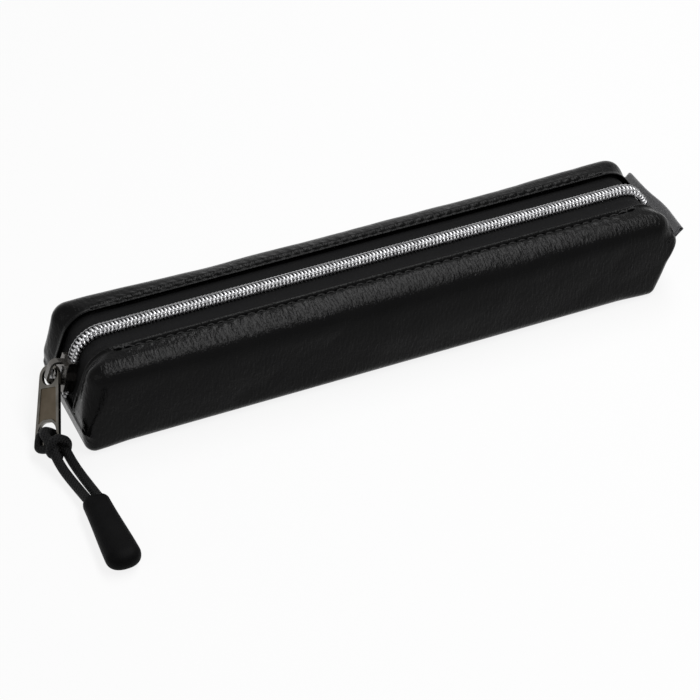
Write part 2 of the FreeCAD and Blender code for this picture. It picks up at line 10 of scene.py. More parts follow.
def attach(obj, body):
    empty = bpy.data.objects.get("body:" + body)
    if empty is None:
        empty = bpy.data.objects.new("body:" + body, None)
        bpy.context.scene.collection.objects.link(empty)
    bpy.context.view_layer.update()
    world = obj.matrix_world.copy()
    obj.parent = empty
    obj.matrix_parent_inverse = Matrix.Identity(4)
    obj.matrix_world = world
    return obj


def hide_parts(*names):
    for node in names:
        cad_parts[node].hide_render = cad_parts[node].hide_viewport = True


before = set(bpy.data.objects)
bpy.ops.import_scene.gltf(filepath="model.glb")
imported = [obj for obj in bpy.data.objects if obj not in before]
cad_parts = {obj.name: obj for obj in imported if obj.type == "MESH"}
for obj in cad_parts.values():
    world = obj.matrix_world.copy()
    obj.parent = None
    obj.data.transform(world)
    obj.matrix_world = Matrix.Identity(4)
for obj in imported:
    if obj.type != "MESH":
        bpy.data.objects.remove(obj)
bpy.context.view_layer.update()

MM = 0.001

# Case form, millimetres: X along the case, Z up, the cord on the -Y side
HALF_LENGTH = 102.0
HALF_WIDTH = 21.0
HEIGHT = 30.0
LEFT_SEAM, LEFT_SLOPE = 9.5, math.radians(70)
RIGHT_SEAM, RIGHT_SLOPE = 19.5, math.radians(60)
NOSE_RADIUS = 10.0
BASE_LEFT, BASE_RIGHT = -101.0, 94.5
BASE_END_RADIUS = 3.4
SHOULDER_RADIUS, BASE_RADIUS, END_RADIUS = 8.0, 4.5, 3.4
FOLD_EDGE = 9.3
LEATHER = 1.2
STITCH_ROW = 10.9
STITCH_PITCH, STITCH_LENGTH = 3.3, 2.4
STITCH_LEFT, STITCH_RIGHT = -87.5, 89.8
STITCH_RADIUS, STITCH_LIFT, STITCH_ARCH, STITCH_SLANT = 0.27, 0.12, 0.25, 0.12
STITCH_STEPS, STITCH_SIDES = 8, 8

# Zip
TAPE_DEPTH = 1.5
TAPE_EDGE, TAPE_OUTER, TAPE_THICK = 0.8, 13.0, 0.5
TAPE_WAVE, TAPE_DROP = 0.07, 0.06
TAPE_ROWS, TAPE_COLUMNS = 220, 14
COIL_PITCH = 1.22
COIL_HEEL, COIL_REACH = 2.2, 0.45
COIL_LOW, COIL_TOP = 0.05, 2.25
FILAMENT, COIL_SQUARENESS = 0.36, 0.75
COIL_STEPS, COIL_SIDES = 16, 7
SEWING_LINE, SEWING_RADIUS, SEWING_START = 1.72, 0.14, 0.3
SEWING_SWAY, SEWING_LIFT, SEWING_DIP = 0.07, 0.02, 0.1
SEWING_STEPS, SEWING_SIDES = 5, 6
TAIL_SPREAD = 1.35
TAIL_END, TAIL_PARTED, TAIL_CLOSED = 0.5, 5.0, 8.2
COIL_END_GAP = 2.0

# Cord and grip
CORD_RADIUS, HITCH_RADIUS, CORD_SIDES = 1.5, 1.3, 14
# How far the cord's ends run on, out of sight in the grip
CORD_SEATING = 1.3
CORD_ROUTE = [
    (-108.5, -42.3, 3.1),
    (-110.0, -31.0, 2.1),
    (-111.4, -24.0, 3.8),
    (-111.675, -17.892, 6.828),
    (-112.584, -11.749, 7.532),
    (-108.310, -10.737, 4.222),
    (-107.401, -16.880, 3.518),
    (-107.0, -23.0, 2.1),
    (-106.2, -31.0, 1.8),
    (-105.2, -42.3, 3.1),
]
HITCH_CENTRE = Vector((-110.047, -13.946, 5.567))
HITCH_AWAY = Vector((0.1454, -0.9829, -0.1126))
GRIP_NECK = Vector((-106.85, -42.65, 3.45))
GRIP_YAW = math.radians(-1)
GRIP_LENGTH = 30.5
GRIP_WIDTHS = (8.2, 10.8)
GRIP_THICK = 6.8
GRIP_NECK_SHARE, GRIP_SWELL = 0.84, 0.16
GRIP_NECK_ROUND, GRIP_NECK_CUT = 2.4, 0.55
GRIP_END_ROUND, GRIP_END_POWER = 4.6, 2.2
GRIP_SQUARENESS = 0.8
GRIP_SEAM, GRIP_SEAM_WIDTH = 0.05, 0.06
GRIP_ROWS, GRIP_SIDES = 44, 40

# Pull: the way that its face looks and the way down its length
PULL_FACING = Vector((-0.7771, -0.1839, 0.6018))
PULL_DOWN = Vector((-0.3228, -0.7044, -0.6321))
PULL_HALF_TOP, PULL_FLARE, PULL_RIM, PULL_EASE = 3.95, 1.35, 1.15, 0.22
PANEL_OVERLAP, PANEL_DEPTH, PANEL_EASE = 1.03, 0.3, 0.05

# Ribbon tab
TAB_WIDTH, TAB_REACH, TAB_THICK = 34.5, 4.4, 1.2
TAB_SLOPE = math.radians(45)
TAB_START, TAB_BULGE, TAB_TAPER = 0.2, 1.5, 0.03
TAB_ROWS, TAB_STEPS, TAB_TURNS = 40, 6, 8
# Its wave: height, turn per millimetre and phase
TAB_WAVE = (0.3, 0.19, 0.8)
# Share of its reach at the sides, and the share added in the middle, with its place and half width
TAB_SIDE_REACH, TAB_MIDDLE_REACH = 0.86, (0.2, -5, 8)
RIBBON_THICK, RIBBON_INSET, RIBBON_STEP = 0.4, 0.22, 0.55


# Materials

WRINKLE_STRETCH, WRINKLE_BEND = (1, 0.34, 0.34), 0.6
RAMP_LOW, RAMP_HIGH = 0.3, 0.7


class Shader:
    """A principled material and short ways to add nodes to it."""

    def __init__(self, name, **values):
        self.material = bpy.data.materials.new(name)
        self.material.use_nodes = True
        self.nodes = self.material.node_tree.nodes
        self.links = self.material.node_tree.links
        self.surface = self.nodes["Principled BSDF"]
        for socket, value in values.items():
            self.surface.inputs[socket.replace("_", " ")].default_value = value
        self.place = self.nodes.new("ShaderNodeTexCoord")

    def node(self, kind, settings=None, **inputs):
        made = self.nodes.new(kind)
        for name, value in (settings or {}).items():
            setattr(made, name, value)
        for name, value in inputs.items():
            self.feed(made.inputs[name.replace("_", " ")], value)
        return made

    def feed(self, socket, value):
        if isinstance(value, bpy.types.NodeSocket):
            self.links.new(value, socket)
        else:
            socket.default_value = value

    def math(self, operation, *values):
        made = self.node("ShaderNodeMath", {"operation": operation})
        for socket, value in zip(made.inputs, values):
            self.feed(socket, value)
        return made.outputs[0]

    def noise(self, scale, detail):
        where = self.place.outputs["Object"]
        return self.node("ShaderNodeTexNoise", Vector=where, Scale=scale, Detail=detail).outputs["Fac"]

    def grain(self, scale):
        where = self.place.outputs["Object"]
        made = self.node("ShaderNodeTexVoronoi", {"feature": "SMOOTH_F1"}, Vector=where, Scale=scale)
        return made.outputs["Distance"]

    def wrinkles(self, scale):
        """Fine creases that run across the length of the case."""
        where = self.node(
            "ShaderNodeMapping", Vector=self.place.outputs["Object"], Scale=WRINKLE_STRETCH
        ).outputs["Vector"]
        return self.node(
            "ShaderNodeTexNoise", Vector=where, Scale=scale, Detail=2.0, Distortion=WRINKLE_BEND
        ).outputs["Fac"]

    def spread(self, value, low, high):
        """The value of a texture, from 0 to 1, as a number from low to high."""
        return self.node("ShaderNodeMapRange", Value=value, To_Min=low, To_Max=high).outputs["Result"]

    def colours(self, value, dark, light):
        ramp = self.node("ShaderNodeValToRGB", Fac=value)
        ramp.color_ramp.elements[0].position = RAMP_LOW
        ramp.color_ramp.elements[1].position = RAMP_HIGH
        ramp.color_ramp.elements[0].color = (*dark, 1)
        ramp.color_ramp.elements[1].color = (*light, 1)
        self.links.new(ramp.outputs["Color"], self.surface.inputs["Base Color"])

    def roughness(self, value, low, high):
        self.links.new(self.spread(value, low, high), self.surface.inputs["Roughness"])

    def bump(self, height, depth, strength):
        """Adds relief on top of what the surface has already."""
        made = self.node("ShaderNodeBump", Height=height, Distance=depth, Strength=strength)
        if self.surface.inputs["Normal"].is_linked:
            before = self.surface.inputs["Normal"].links[0].from_socket
            self.links.new(before, made.inputs["Normal"])
        self.links.new(made.outputs["Normal"], self.surface.inputs["Normal"])

    def across(self):
        """The two surface coordinates of a swept or gridded piece, in millimetres."""
        split = self.node("ShaderNodeSeparateXYZ", Vector=self.place.outputs["UV"])
        return split.outputs["X"], split.outputs["Y"]

    def ridges(self, value, pitch):
        """Rounded ridges across a coordinate, from 0 to 1."""
        turn = self.math("MULTIPLY", value, 2 * math.pi / pitch)
        return self.math("MULTIPLY_ADD", self.math("SINE", turn), 0.5, 0.5)


def leather():
    """Smooth black leather with soft creases and a fine grain."""
    made = Shader("grained_leather", Specular_IOR_Level=0.085)
    made.colours(made.noise(90, 4), (0.0006, 0.0006, 0.0007), (0.0015, 0.0015, 0.0016))
    made.roughness(made.noise(500, 3), 0.18, 0.28)
    made.bump(made.noise(130, 3), 0.0005, 0.2)
    made.bump(made.wrinkles(1250), 0.0003, 0.7)
    made.bump(made.grain(2300), 0.0001, 0.4)
    return made.material


def woven(name, dark, light, pitch, sheen, rough):
    """Twill whose diagonal changes sides from one band to the next."""
    made = Shader(name, Sheen_Weight=sheen, Sheen_Roughness=0.5, Specular_IOR_Level=0.08)
    along, over = made.across()
    band = made.math("PINGPONG", over, 3.2 * pitch)
    twill = made.ridges(made.math("ADD", along, band), pitch)
    weft = made.ridges(over, 0.8 * pitch)
    cloth = made.math("ADD", twill, made.math("MULTIPLY", weft, 0.5))
    made.colours(made.math("MULTIPLY", cloth, 0.66), dark, light)
    made.roughness(made.noise(1500, 2), *rough)
    made.bump(cloth, 0.00012, 0.8)
    made.bump(made.noise(2600, 2), 0.00008, 0.4)
    return made.material


def braid():
    """Fine two-way braid of a round cord."""
    made = Shader("braided_cord", Sheen_Weight=0.02, Sheen_Roughness=0.4, Specular_IOR_Level=0.06)
    along, around = made.across()
    one = made.ridges(made.math("ADD", along, around), 1.18)
    other = made.ridges(made.math("SUBTRACT", along, around), 1.18)
    strands = made.math("MAXIMUM", one, other)
    made.colours(strands, (0.002, 0.002, 0.0022), (0.009, 0.009, 0.0095))
    made.roughness(made.noise(1800, 2), 0.42, 0.6)
    made.bump(strands, 0.00022, 0.8)
    return made.material


def thread(name, dark, light):
    """Twisted sewing thread."""
    made = Shader(name, Sheen_Weight=0.05, Specular_IOR_Level=0.2)
    along, around = made.across()
    ply = made.ridges(made.math("ADD", along, around), 0.5)
    made.colours(ply, dark, light)
    made.roughness(made.noise(1500, 2), 0.4, 0.6)
    made.bump(ply, 0.0001, 0.7)
    return made.material


def metal(name, dark, light, rough, wear):
    """Plated metal, faintly uneven, with small dull spots."""
    made = Shader(name, Metallic=1.0)
    made.colours(made.noise(260, 4), dark, light)
    made.roughness(made.noise(900, 4), *rough)
    made.bump(made.noise(420, 3), 0.00015, wear)
    made.bump(made.noise(4200, 2), 0.00003, wear)
    return made.material


def rubber():
    """Matte rubber with a fine moulded texture."""
    made = Shader("grip_rubber", Specular_IOR_Level=0.04)
    made.colours(made.noise(140, 4), (0.0015, 0.0015, 0.0016), (0.0035, 0.0035, 0.0037))
    made.roughness(made.noise(500, 3), 0.46, 0.62)
    made.bump(made.noise(2300, 3), 0.00012, 0.55)
    return made.material


def lining_cloth():
    """Plain weave, laid out by place because the lining has no surface coordinates."""
    made = Shader("lining_cloth", Sheen_Weight=0.2)
    split = made.node("ShaderNodeSeparateXYZ", Vector=made.place.outputs["Object"])
    warp = made.ridges(split.outputs["X"], 0.0006)
    weft = made.ridges(made.math("ADD", split.outputs["Y"], split.outputs["Z"]), 0.0006)
    cloth = made.math("MAXIMUM", warp, weft)
    made.colours(cloth, (0.01, 0.01, 0.011), (0.03, 0.03, 0.032))
    made.roughness(made.noise(900, 2), 0.6, 0.8)
    made.bump(cloth, 0.0001, 0.6)
    return made.material


# Mesh helpers, millimetres in and metres out

LINE_STEPS, CORNER_STEPS = 10, 8


def finish_mesh(name, mesh, material, body, nodes):
    """A smooth piece that rides a body, in place of CAD nodes."""
    mesh.polygons.foreach_set("use_smooth", [True] * len(mesh.polygons))
    mesh.materials.append(material)
    piece = bpy.data.objects.new(name, mesh)
    bpy.context.scene.collection.objects.link(piece)
    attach(piece, body)
    if nodes:
        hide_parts(*nodes)
    return piece


def raw_mesh(name, points, faces, coordinates=None):
    """A mesh with, if they are given, the surface coordinates of its points."""
    mesh = bpy.data.meshes.new(name)
    mesh.from_pydata([tuple(MM * c for c in point) for point in points], [], faces)
    if coordinates is not None:
        layer = mesh.uv_layers.new(name="UVMap")
        for loop in mesh.loops:
            layer.data[loop.index].uv = coordinates[loop.vertex_index]
    mesh.update()
    return mesh


def weld(mesh, distance):
    """Merges points that lie together and turns all faces outwards."""
    work = bmesh.new()
    work.from_mesh(mesh)
    bmesh.ops.remove_doubles(work, verts=work.verts, dist=distance * MM)
    bmesh.ops.recalc_face_normals(work, faces=work.faces)
    work.to_mesh(mesh)
    work.free()


def grid_faces(rows, columns, flip=False):
    faces = []
    for row in range(rows - 1):
        for column in range(columns - 1):
            corner = row * columns + column
            face = (corner, corner + 1, corner + columns + 1, corner + columns)
            faces.append(face[::-1] if flip else face)
    return faces


def smooth_step(value):
    value = min(max(value, 0.0), 1.0)
    return value * value * (3 - 2 * value)


def bell(value, middle, width):
    return math.exp(-((value - middle) / width) ** 2)


def squared(value, power):
    """A sine or cosine pushed towards 1, so that a circle turns squarer."""
    return math.copysign(abs(value) ** power, value)


def thicken(piece, thickness, offset):
    solid = piece.modifiers.new("thickness", "SOLIDIFY")
    solid.thickness = thickness * MM
    solid.offset = offset


def sweep(paths, radius, sides):
    """Round tubes along paths of points, with closed ends: points, faces and surface coordinates."""
    points, faces, coordinates = [], [], []
    for path in paths:
        path = [Vector(point) for point in path]
        first = len(points)
        across = None
        travelled = 0.0
        for index, point in enumerate(path):
            ahead = path[min(index + 1, len(path) - 1)]
            behind = path[max(index - 1, 0)]
            heading = (ahead - behind).normalized()
            if across is None:
                across = heading.orthogonal()
            across = (across - heading * across.dot(heading)).normalized()
            other = heading.cross(across)
            if index:
                travelled += (point - path[index - 1]).length
            for side in range(sides + 1):
                turn = 2 * math.pi * side / sides
                points.append(point + radius * (math.cos(turn) * across + math.sin(turn) * other))
                coordinates.append((travelled, radius * turn))
        faces += [
            tuple(first + number for number in face)
            for face in grid_faces(len(path), sides + 1)
        ]
        faces.append(tuple(first + side for side in range(sides))[::-1])
        last = first + (len(path) - 1) * (sides + 1)
        faces.append(tuple(last + side for side in range(sides)))
    return points, faces, coordinates


def smooth_line(name, route):
    """Points of a NURBS spline that has the route as its control points, and the spline's own length."""
    data = bpy.data.curves.new(name, "CURVE")
    data.dimensions = "3D"
    data.resolution_u = LINE_STEPS
    spline = data.splines.new("NURBS")
    spline.points.add(len(route) - 1)
    for point, place in zip(spline.points, route):
        point.co = (*(MM * c for c in place), 1)
    spline.order_u = 3
    spline.use_endpoint_u = True
    holder = bpy.data.objects.new(name, data)
    line = bpy.data.meshes.new_from_object(holder)
    points = [vertex.co / MM for vertex in line.vertices]
    bpy.data.objects.remove(holder)
    bpy.data.curves.remove(data)
    bpy.data.meshes.remove(line)
    return points, sum((b - a).length for a, b in zip(points, points[1:]))


# Zip path and case outline in the XZ plane

class ZipPath:
    """The line of the zip, at a depth under the leather, from the left seam to the right seam."""

    def __init__(self, depth):
        self.top = HEIGHT - depth
        self.radius = NOSE_RADIUS - depth
        left_rise, right_rise = self.top - LEFT_SEAM, self.top - RIGHT_SEAM
        left_trim = self.radius * math.tan(LEFT_SLOPE / 2)
        right_trim = self.radius * math.tan(RIGHT_SLOPE / 2)
        self.start = -HALF_LENGTH + depth / math.sin(LEFT_SLOPE)
        stop = HALF_LENGTH - depth / math.sin(RIGHT_SLOPE)
        self.left_run = left_rise / math.sin(LEFT_SLOPE) - left_trim
        self.right_run = right_rise / math.sin(RIGHT_SLOPE) - right_trim
        self.top_left = self.start + left_rise / math.tan(LEFT_SLOPE) + left_trim
        self.top_right = stop - right_rise / math.tan(RIGHT_SLOPE) - right_trim
        self.stations = np.cumsum([
            self.left_run,
            self.radius * LEFT_SLOPE,
            self.top_right - self.top_left,
            self.radius * RIGHT_SLOPE,
            self.right_run,
        ])
        self.length = self.stations[-1]

    def at(self, s):
        """X, Z and slope of the line at a distance from its start."""
        nose, top, shoulder, fall, _ = self.stations
        if s < nose:
            return (
                self.start + s * math.cos(LEFT_SLOPE),
                LEFT_SEAM + s * math.sin(LEFT_SLOPE),
                LEFT_SLOPE,
            )
        if s < top:
            return self.bend(self.top_left, LEFT_SLOPE - (s - nose) / self.radius)
        if s < shoulder:
            return self.top_left + s - top, self.top, 0.0
        if s < fall:
            return self.bend(self.top_right, -(s - shoulder) / self.radius)
        x, z, _ = self.bend(self.top_right, -RIGHT_SLOPE)
        beyond = s - fall
        return x + beyond * math.cos(RIGHT_SLOPE), z - beyond * math.sin(RIGHT_SLOPE), -RIGHT_SLOPE

    def bend(self, middle, slope):
        return (
            middle - self.radius * math.sin(slope),
            self.top - self.radius * (1 - math.cos(slope)),
            slope,
        )

    def point(self, s, y, rise):
        x, z, slope = self.at(s)
        return Vector((x - math.sin(slope) * rise, y, z + math.cos(slope) * rise))


zip_path = ZipPath(TAPE_DEPTH)


def spread_at(s):
    """How far each half of the zip stands off the centre below the slider."""
    return TAIL_SPREAD * smooth_step((TAIL_CLOSED - s) / (TAIL_CLOSED - TAIL_PARTED))


# Leather shell: ribs that run from the fold beside the zip, down the wall and under the case

# Ribs on each stretch of the outline: left end, bend, top, bend, right end
RIB_COUNTS = (16, 12, 190, 9, 14)
# Ends of the fuller outline that the leather takes away from the zip, and where it goes over to it
PUFF_LEFT, PUFF_RIGHT, PUFF_RADIUS = -97.8, 98.0, 6.0
PUFF_START, PUFF_WIDTH = 10.2, 6.0
# Half angle of the crease at an end, how far it is drawn in and the share of the end where it opens out
CREASE_OPENING = math.radians(32)
CREASE_PINCH, CREASE_RIBS = 0.5, 3
CREASE_SHARE = 0.7
# Ribs past the bend over which the shoulder and the base reach their full radius
SHOULDER_GROWTH, BASE_GROWTH = 50, 12
# Steps along a rib: shares of the flat part, then counts for a corner, the wall and the underside
FLAT_STEPS = (
    0, 0.04, 0.08, 0.12, 0.17, 0.22, 0.27, 0.32, 0.37, 0.43, 0.5, 0.62, 0.74, 0.87, 1
)
ARC_STEPS, WALL_STEPS, UNDER_STEPS = 9, 12, 6
# Relief beside the zip: height, distance from the zip and half width of each part
ROLL = (0.5, FOLD_EDGE + 0.3, 0.85)
TUCK = (0.3, FOLD_EDGE - 0.05, 0.35)
GROOVE = (0.95, STITCH_ROW + 0.1, 0.52)
SWELL = (0.3, STITCH_ROW + 1.7, 0.9)
# How far the relief changes at each stitch and by chance, and the length over which it fades out
PUCKER_DEPTH, PUCKER_WIDTH, PUCKER_SWELL = 0.12, 0.1, 0.14
DRIFT_SWELL, DRIFT_ALONG, DRIFT_ACROSS, DRIFT_LAYER = 0.2, 0.13, 0.1, 3.0
PUCKER_FADE = 10
# Slack of the walls, as depth and scale, and their sag halfway along, as depth and half height
BROAD_SLACK, FINE_SLACK, FINE_SHIFT = (0.55, 0.035), (0.2, 0.11), Vector((5, 2, 9))
SAG = (0.5, 7)


def rounded_run(corners, radius, outward):
    """Points and outward directions along a line of three straight runs with two rounded corners."""
    corners = [np.array(corner, float) for corner in corners]
    headings = [(b - a) / np.linalg.norm(b - a) for a, b in zip(corners, corners[1:])]
    angles = [math.atan2(heading[1], heading[0]) for heading in headings]
    ends = [corners[0]]
    for number, (before, after) in enumerate(zip(angles, angles[1:])):
        trim = radius * abs(math.tan((after - before) / 2))
        ends.append(corners[number + 1] - trim * headings[number])
        ends.append(corners[number + 1] + trim * headings[number + 1])
    ends.append(corners[-1])
    points, facings = [], []
    for stretch, count in enumerate(RIB_COUNTS):
        last = stretch == len(RIB_COUNTS) - 1
        for step in range(count + 1 if last else count):
            part = step / count
            if stretch % 2:
                before, after = angles[stretch // 2], angles[stretch // 2 + 1]
                angle = before + part * (after - before)
                bend = math.copysign(radius, after - before)
                centre = ends[stretch] + bend * np.array((-math.sin(before), math.cos(before)))
                place = centre - bend * np.array((-math.sin(angle), math.cos(angle)))
            else:
                angle = angles[stretch // 2]
                place = ends[stretch] + part * (ends[stretch + 1] - ends[stretch])
            points.append(place)
            facings.append(outward * np.array((-math.sin(angle), math.cos(angle))))
    return points, facings


def leather_outlines():
    """Three runs from seam to seam: along the zip, fuller over the walls, and under the case."""
    left, right = (-HALF_LENGTH, LEFT_SEAM), (HALF_LENGTH, RIGHT_SEAM)
    top_left = -HALF_LENGTH + (HEIGHT - LEFT_SEAM) / math.tan(LEFT_SLOPE)
    top_right = HALF_LENGTH - (HEIGHT - RIGHT_SEAM) / math.tan(RIGHT_SLOPE)
    return (
        rounded_run([left, (top_left, HEIGHT), (top_right, HEIGHT), right], NOSE_RADIUS, 1),
        rounded_run([left, (PUFF_LEFT, HEIGHT), (PUFF_RIGHT, HEIGHT), right], PUFF_RADIUS, 1),
        rounded_run([left, (BASE_LEFT, 0), (BASE_RIGHT, 0), right], BASE_END_RADIUS, -1),
    )


def fold_height(x, y):
    """Rise of the leather near the zip: rolled fold, sunk stitch row and the swell outside it."""
    puckers = smooth_step((x - STITCH_LEFT) / PUCKER_FADE) * smooth_step((STITCH_RIGHT - x) / PUCKER_FADE)
    wave = math.cos(2 * math.pi * (x - STITCH_LEFT - STITCH_LENGTH / 2) / STITCH_PITCH)
    drift = noise.noise(Vector((x * DRIFT_ALONG, y * DRIFT_ACROSS, DRIFT_LAYER)))
    roll = ROLL[0] * bell(y, *ROLL[1:]) - TUCK[0] * bell(y, *TUCK[1:])
    groove = (GROOVE[0] - PUCKER_DEPTH * wave) * bell(y, GROOVE[1], GROOVE[2] + PUCKER_WIDTH * wave)
    swell = (SWELL[0] + DRIFT_SWELL * drift - PUCKER_SWELL * wave) * bell(y, *SWELL[1:])
    return roll + (swell - groove) * puckers


def half_rib(point, puffed, pinch, inward, radius, fold):
    """From beside the zip across to the wall, round a corner that turns towards inward.

    Away from the zip the line goes over from point to puffed, where the ends of the case stand fuller.
    """
    start = HALF_WIDTH - radius
    steps = [(FOLD_EDGE + part * (start - FOLD_EDGE), 0.0, 1.0) for part in FLAT_STEPS]
    for step in range(1, ARC_STEPS + 1):
        turn = 0.5 * math.pi * step / ARC_STEPS
        steps.append((start + radius * math.sin(turn), radius * (1 - math.cos(turn)), math.cos(turn)))
    rib = []
    for y, drop, level in steps:
        place = point + smooth_step((y - PUFF_START) / PUFF_WIDTH) * (puffed - point) + level * pinch
        if fold:
            drop -= level * fold_height(point[0], y)
        rib.append((place[0] + drop * inward[0], y, place[1] + drop * inward[1]))
    return rib


def crease_faces(first, row):
    """Faces that close the corners of an end, between the two lines that leave its crease."""
    flat = len(FLAT_STEPS) - 1
    over = list(range(flat, flat + ARC_STEPS + 1))
    wall = list(range(over[-1] + 1, over[-1] + WALL_STEPS))
    under = list(range(wall[-1] + 1, wall[-1] + 2 + ARC_STEPS))[::-1]
    faces = []
    for step in range(ARC_STEPS - 1):
        faces.append((over[step], over[step + 1], under[step + 1], under[step]))
    faces.append((over[-2], over[-1], *wall, under[-1], under[-2]))
    mirrored = [tuple(row - 1 - number for number in face) for face in faces]
    return [tuple(first + number for number in face) for face in faces + mirrored]


def leather_rib(index, outlines):
    """Half of a rib, from beside the zip to the middle of the underside."""
    (top, _), (puffed, puffed_facing), (base, base_facing) = outlines
    to_left, to_right = index, len(top) - 1 - index
    left_end, left_bend, _, right_bend, right_end = RIB_COUNTS
    from_end = min(to_left / left_end, to_right / right_end)
    past_bend = min(to_left - left_end - left_bend, to_right - right_end - right_bend)
    inward = np.array((1.0 if to_left < to_right else -1.0, 0.0))
    lift = np.array((0.0, math.tan(CREASE_OPENING)))
    opened = smooth_step(from_end / CREASE_SHARE)
    down = inward + lift + opened * (-puffed_facing[index] - inward - lift)
    up = inward - lift + opened * (-base_facing[index] - inward + lift)
    down, up = down / np.linalg.norm(down), up / np.linalg.norm(up)
    pinch = CREASE_PINCH * (1 - smooth_step(min(to_left, to_right) / CREASE_RIBS)) * inward
    shoulder = END_RADIUS + smooth_step(from_end) * (PUFF_RADIUS - END_RADIUS)
    shoulder += smooth_step(past_bend / SHOULDER_GROWTH) * (SHOULDER_RADIUS - PUFF_RADIUS)
    corner = END_RADIUS + smooth_step(past_bend / BASE_GROWTH) * (BASE_RADIUS - END_RADIUS)
    over = half_rib(top[index], puffed[index], pinch, down, shoulder, True)
    under = half_rib(base[index], base[index], pinch, up, corner, False)
    wall = [
        tuple(a + step / WALL_STEPS * (b - a) for a, b in zip(over[-1], under[-1]))
        for step in range(1, WALL_STEPS)
    ]
    x, z = base[index] + pinch
    floor = [(x, FOLD_EDGE * (1 - step / UNDER_STEPS), z) for step in range(1, UNDER_STEPS + 1)]
    return over + wall + under[::-1] + floor


def settle(x, y, z):
    """The soft leather's unevenness: slack in the walls, and a sag halfway along them."""
    place = Vector((x, y, z))
    slack = BROAD_SLACK[0] * noise.noise(place * BROAD_SLACK[1])
    slack += FINE_SLACK[0] * noise.noise(place * FINE_SLACK[1] + FINE_SHIFT)
    slack *= smooth_step((z - 1.0) / 6) * smooth_step((abs(y) - STITCH_ROW - 1) / 5)
    sag = SAG[0] * smooth_step((abs(y) - HALF_WIDTH + 2) / 2) * bell(z, HEIGHT / 2, SAG[1])
    sag *= 1 - abs(x) / HALF_LENGTH
    return x, y + math.copysign(slack - sag, y), max(z, 0.0)


def leather_shell(material):
    """Ribs across the case along its length, closed at the end creases, with the leather's thickness."""
    outlines = leather_outlines()
    ribs = len(outlines[0][0])
    points = []
    for index in range(ribs):
        half = leather_rib(index, outlines)
        points += [(x, -y, z) for x, y, z in half] + half[-2::-1]
    row = len(points) // ribs
    faces = grid_faces(ribs, row, flip=True)
    for first in (0, (ribs - 1) * row):
        faces += crease_faces(first, row)
    mesh = raw_mesh("leather_shell", [settle(*point) for point in points], faces)
    weld(mesh, 0.02)
    piece = finish_mesh("leather_shell", mesh, material, "case", ["outer_panel"])
    thicken(piece, LEATHER, -1)
    soft = piece.modifiers.new("soft", "SUBSURF")
    soft.levels = soft.render_levels = 1


def stitch_row(name, side, material, node):
    """Sunk stitches of thick thread that dip into the leather at both ends."""
    paths = []
    start = STITCH_LEFT
    while start + STITCH_LENGTH < STITCH_RIGHT:
        path = []
        for step in range(STITCH_STEPS + 1):
            part = step / STITCH_STEPS
            x = start + part * STITCH_LENGTH
            rise = STITCH_LIFT + STITCH_ARCH * math.sin(math.pi * part) + fold_height(x, STITCH_ROW)
            path.append((x, side * (STITCH_ROW + STITCH_SLANT * (part - 0.5)), HEIGHT + rise))
        paths.append(path)
        start += STITCH_PITCH
    mesh = raw_mesh(name, *sweep(paths, STITCH_RADIUS, STITCH_SIDES))
    finish_mesh(name, mesh, material, "case", [node])


def tape(name, side, material, node):
    """A woven half tape that follows the zip and parts below the slider."""
    points, coordinates = [], []
    for row in range(TAPE_ROWS):
        s = zip_path.length * row / (TAPE_ROWS - 1)
        edge = TAPE_EDGE + spread_at(s)
        for column in range(TAPE_COLUMNS):
            y = edge + (TAPE_OUTER - edge) * column / (TAPE_COLUMNS - 1)
            wave = TAPE_WAVE * noise.noise(Vector((s * 0.12, y * 0.3, side)))
            points.append(zip_path.point(s, side * y, wave - TAPE_DROP))
            coordinates.append((s, y))
    faces = grid_faces(TAPE_ROWS, TAPE_COLUMNS, flip=side > 0)
    mesh = raw_mesh(name, points, faces, coordinates)
    thicken(finish_mesh(name, mesh, material, "case", [node]), TAPE_THICK, -1)


def coil(name, side, material, node):
    """One filament wound into flat loops, whose heads lie between those of the other row."""
    turns = int((zip_path.length - TAIL_END - COIL_END_GAP) / COIL_PITCH)
    middle = (COIL_HEEL - COIL_REACH) / 2
    reach = (COIL_HEEL + COIL_REACH) / 2 - FILAMENT
    lift = (COIL_TOP + COIL_LOW) / 2
    height = (COIL_TOP - COIL_LOW) / 2 - FILAMENT
    path = []
    for step in range(turns * COIL_STEPS + 1):
        turn = 2 * math.pi * step / COIL_STEPS
        s = TAIL_END + COIL_PITCH * (step / COIL_STEPS + (0.5 if side > 0 else 0.0))
        y = middle + reach * squared(math.cos(turn), COIL_SQUARENESS) + spread_at(s)
        rise = lift + height * squared(math.sin(turn), COIL_SQUARENESS)
        path.append(zip_path.point(s, side * y, rise))
    mesh = raw_mesh(name, *sweep([path], FILAMENT, COIL_SIDES))
    finish_mesh(name, mesh, material, "case", [node])


def coil_thread(name, side, material, node):
    """The sewing thread that runs over the loops near their heels and dips between them."""
    stop = zip_path.length - COIL_END_GAP - COIL_PITCH
    steps = int((stop - TAIL_END) / COIL_PITCH * SEWING_STEPS)
    path = []
    for step in range(steps):
        s = TAIL_END + SEWING_START + COIL_PITCH * step / SEWING_STEPS
        turn = 2 * math.pi * s / COIL_PITCH
        y = SEWING_LINE + spread_at(s) + SEWING_SWAY * math.sin(turn)
        rise = COIL_TOP + SEWING_LIFT + SEWING_DIP * math.cos(turn)
        path.append(zip_path.point(s, side * y, rise))
    mesh = raw_mesh(name, *sweep([path], SEWING_RADIUS, SEWING_SIDES))
    finish_mesh(name, mesh, material, "case", [node])


